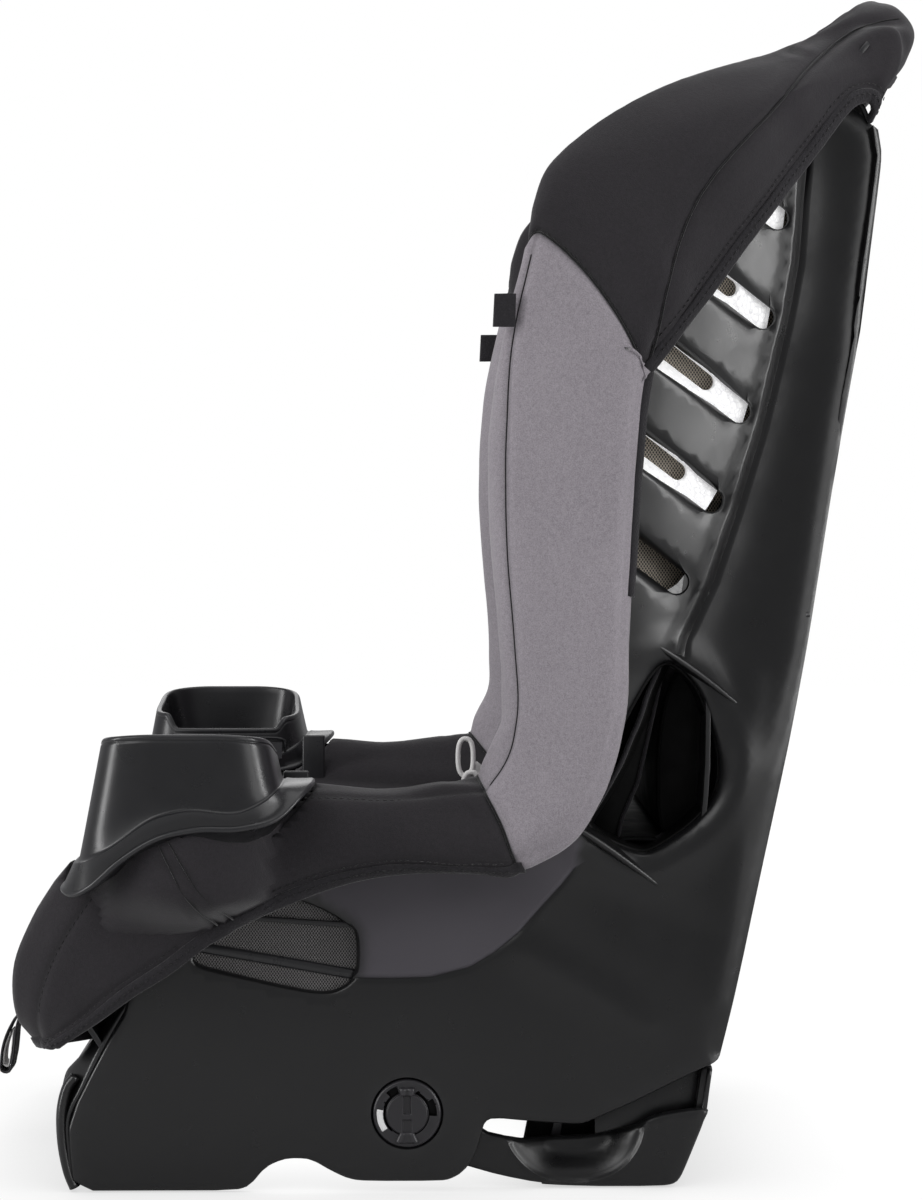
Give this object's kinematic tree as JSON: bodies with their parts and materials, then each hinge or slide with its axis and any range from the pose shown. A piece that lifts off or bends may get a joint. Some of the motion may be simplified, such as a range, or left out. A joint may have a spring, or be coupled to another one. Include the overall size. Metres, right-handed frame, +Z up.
{
  "type": "convertible child car seat",
  "caption": "Convertible child car seat with vented side shell, padded cover, five-point harness, lift-out cup holders and a folding recline foot.",
  "frame": {"origin": "on the resting plane, on the centre line, straight below the recline foot pivot", "axes": "+Z up, the seat faces -Y, +X is the left side of the seated child"},
  "size_m": [0.5, 0.579, 0.721],
  "materials": {
    "shell_plastic": "satin",
    "foam_white": "matt",
    "fabric_grey": "matt",
    "fabric_black": "matt",
    "mesh_black": "matt",
    "webbing": "matt",
    "white_tape": "matt",
    "buckle_black": "satin",
    "button_red": "gloss",
    "steel": "brushed",
    "cup_plastic": "satin",
    "foot_plastic": "satin",
    "cap_plastic": "satin",
    "tag_black": "matt"
  },
  "bodies": {
    "seat": {"adjuster_housing": "buckle_black", "adjuster_pin": "steel", "adjuster_strap": "webbing", "back_cover": "fabric_grey", "back_foam": "foam_white", "back_pad": "fabric_grey", "buckle_body": "buckle_black", "crotch_anchor_plate": "steel", "crotch_strap": "webbing", "foam_liner_left": "foam_white", "foam_liner_right": "foam_white", "harness_pad_left": "fabric_grey", "harness_pad_right": "fabric_grey", "head_cover": "fabric_black", "head_pillow": "fabric_grey", "hip_anchor_rods": "steel", "hip_strap_left": "webbing", "hip_strap_right": "webbing", "latch_belt": "webbing", "mesh_bar_left": "shell_plastic", "mesh_bar_right": "shell_plastic", "rear_strap_left": "webbing", "rear_strap_right": "webbing", "seat_cover": "fabric_black", "seat_foam_front": "foam_white", "seat_foam_rear": "foam_white", "seat_pad": "fabric_grey", "seat_shell": "shell_plastic", "shoulder_strap_left": "webbing", "shoulder_strap_right": "webbing", "side_mesh_left": "mesh_black", "side_mesh_right": "mesh_black", "tag_left": "tag_black", "tag_right": "tag_black", "tether_bolt": "steel", "tongue_holder_left": "white_tape", "tongue_holder_right": "white_tape"},
    "foot": {"recline_foot": "foot_plastic", "foot_pivot_cap_left": "cap_plastic", "foot_pivot_cap_right": "cap_plastic"},
    "cup_l": {"cup_holder_left": "cup_plastic"},
    "cup_r": {"cup_holder_right": "cup_plastic"},
    "release_button": {"buckle_button": "button_red"},
    "tongue_l": {"tongue_left": "steel"},
    "tongue_r": {"tongue_right": "steel"},
    "chest_clip": {"chest_clip_left": "buckle_black", "chest_clip_right": "buckle_black"},
    "clip_button": {"chest_clip_button": "buckle_black"},
    "lever": {"adjuster_lever": "buckle_black"},
    "splitter": {"splitter_plate": "steel"},
    "puller": {"pull_strap": "webbing"},
    "connector_l": {"latch_connector_left": "steel"},
    "connector_r": {"latch_connector_right": "steel"},
    "gate_l": {"latch_gate_left": "steel"},
    "gate_r": {"latch_gate_right": "steel"},
    "tether": {"tether_plate": "steel", "tether_strap": "webbing", "tether_adjuster": "steel", "tether_hook": "steel"},
    "hook_gate": {"tether_gate": "steel"}
  },
  "joints": [
    {"name": "recline_foot_tilt", "type": "hinge", "parent": "seat", "child": "foot", "pos_m": [0, 0, 0.0459], "axis": [1, 0, 0], "range_deg": [0, 14]},
    {"name": "cup_left_lift", "type": "slide", "parent": "seat", "child": "cup_l", "axis": [0, 0, 1], "range_m": [0, 0.095]},
    {"name": "cup_right_lift", "type": "slide", "parent": "seat", "child": "cup_r", "axis": [0, 0, 1], "range_m": [0, 0.095]},
    {"name": "buckle_press", "type": "slide", "parent": "seat", "child": "release_button", "axis": [0, 0.295, -0.9555], "range_m": [0, 0.0038], "stiffness_N_per_m": 40},
    {"name": "tongue_left_eject", "type": "slide", "parent": "seat", "child": "tongue_l", "axis": [0, 0.9555, 0.295], "range_m": [0, 0.008]},
    {"name": "tongue_right_eject", "type": "slide", "parent": "seat", "child": "tongue_r", "axis": [0, 0.9555, 0.295], "range_m": [0, 0.008]},
    {"name": "chest_clip_slide", "type": "slide", "parent": "seat", "child": "chest_clip", "axis": [0, 0.174, 0.9848], "range_m": [-0.02, 0.024]},
    {"name": "clip_press", "type": "slide", "parent": "chest_clip", "child": "clip_button", "axis": [0, 0.9848, -0.174], "range_m": [0, 0.0022], "stiffness_N_per_m": 40},
    {"name": "adjuster_release", "type": "hinge", "parent": "seat", "child": "lever", "pos_m": [0, -0.194, 0.115], "axis": [1, 0, 0], "range_deg": [0, 10]},
    {"name": "harness_take_up", "type": "slide", "parent": "seat", "child": "splitter", "axis": [0, 0, -1], "range_m": [0, 0.09], "deforming": ["rear_strap_left", "rear_strap_right", "adjuster_strap"]},
    {"name": "pull_strap_out", "type": "slide", "parent": "seat", "child": "puller", "axis": [0, -1, 0], "range_m": [0, 0.09]},
    {"name": "connector_left_swivel", "type": "hinge", "parent": "seat", "child": "connector_l", "pos_m": [0.1305, 0.06, 0.112], "axis": [0, 1, 0], "range_deg": [-8, 60]},
    {"name": "connector_right_swivel", "type": "hinge", "parent": "seat", "child": "connector_r", "pos_m": [-0.1305, 0.06, 0.112], "axis": [0, 1, 0], "range_deg": [-60, 8]},
    {"name": "gate_left_open", "type": "hinge", "parent": "connector_l", "child": "gate_l", "pos_m": [0.1403, 0.06, 0.1103], "axis": [0, 1, 0], "range_deg": [0, 22]},
    {"name": "gate_right_open", "type": "hinge", "parent": "connector_r", "child": "gate_r", "pos_m": [-0.1403, 0.06, 0.1103], "axis": [0, 1, 0], "range_deg": [-22, 0]},
    {"name": "tether_swing", "type": "hinge", "parent": "seat", "child": "tether", "pos_m": [0, 0.2176, 0.56], "axis": [0, 1, 0], "range_deg": [-18, 18]},
    {"name": "hook_gate_open", "type": "hinge", "parent": "tether", "child": "hook_gate", "pos_m": [-0.01, 0.228, 0.2984], "axis": [0, 1, 0], "range_deg": [0, 24]}
  ],
  "couplings": [
    {"joint": "pull_strap_out", "follows": "harness_take_up", "ratio": 1}
  ]
}
